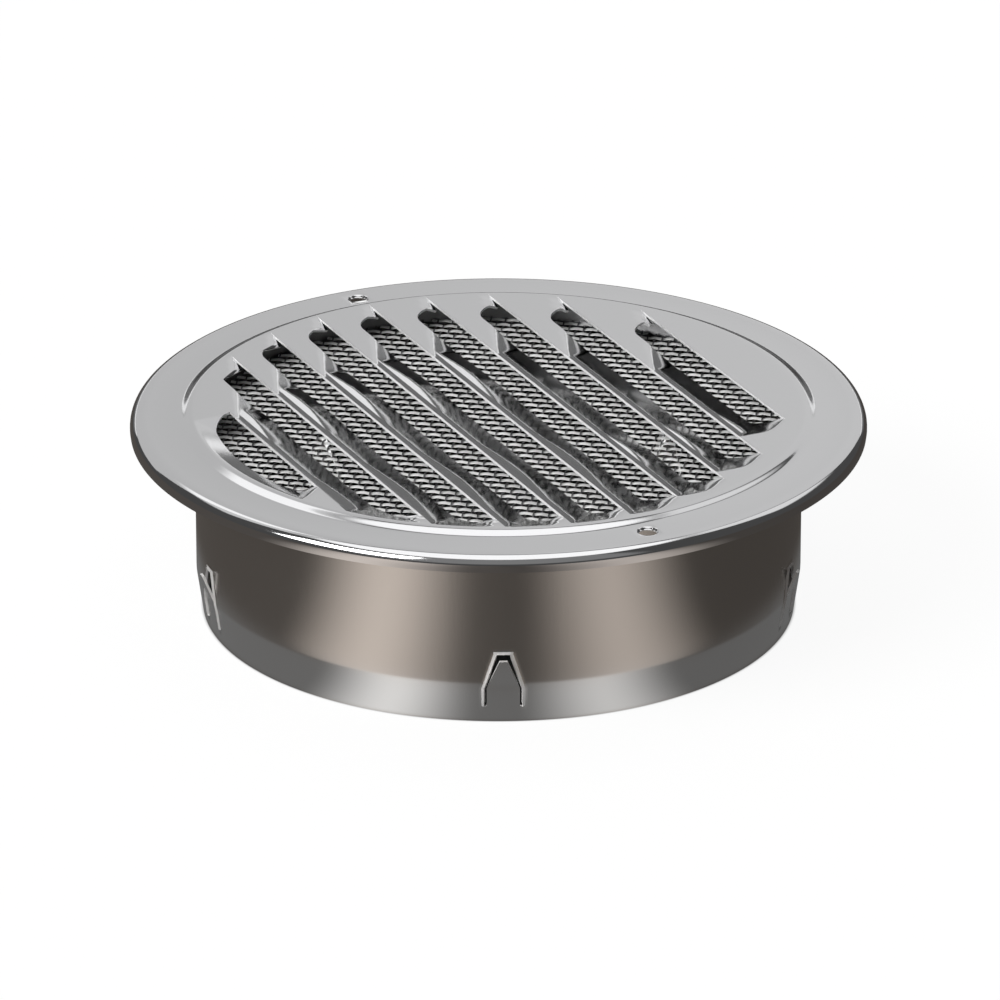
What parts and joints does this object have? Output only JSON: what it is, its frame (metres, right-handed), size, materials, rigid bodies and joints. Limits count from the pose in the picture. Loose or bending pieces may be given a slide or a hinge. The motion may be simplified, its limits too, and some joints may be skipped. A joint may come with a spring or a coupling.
{
  "type": "round vent cover",
  "caption": "Round louvred vent cover in polished stainless sheet: flanged face with inward-pressed louvres, an insect screen behind them and a barbed collar that pushes into a duct.",
  "frame": {"origin": "centre of the collar's open end, in the plane that it stands on", "axes": "+Z out of the louvred face, +X along the louvres, +Y across them towards each slit, which is up when the cover is on a wall"},
  "size_m": [0.18, 0.18, 0.0512],
  "materials": {
    "plate_steel": "polished",
    "collar_steel": "polished",
    "screen_wire": "bright wire"
  },
  "bodies": {
    "root": {"face_plate": "plate_steel", "weld_ring": "collar_steel", "collar": "collar_steel", "insect_screen": "screen_wire"}
  },
  "joints": []
}
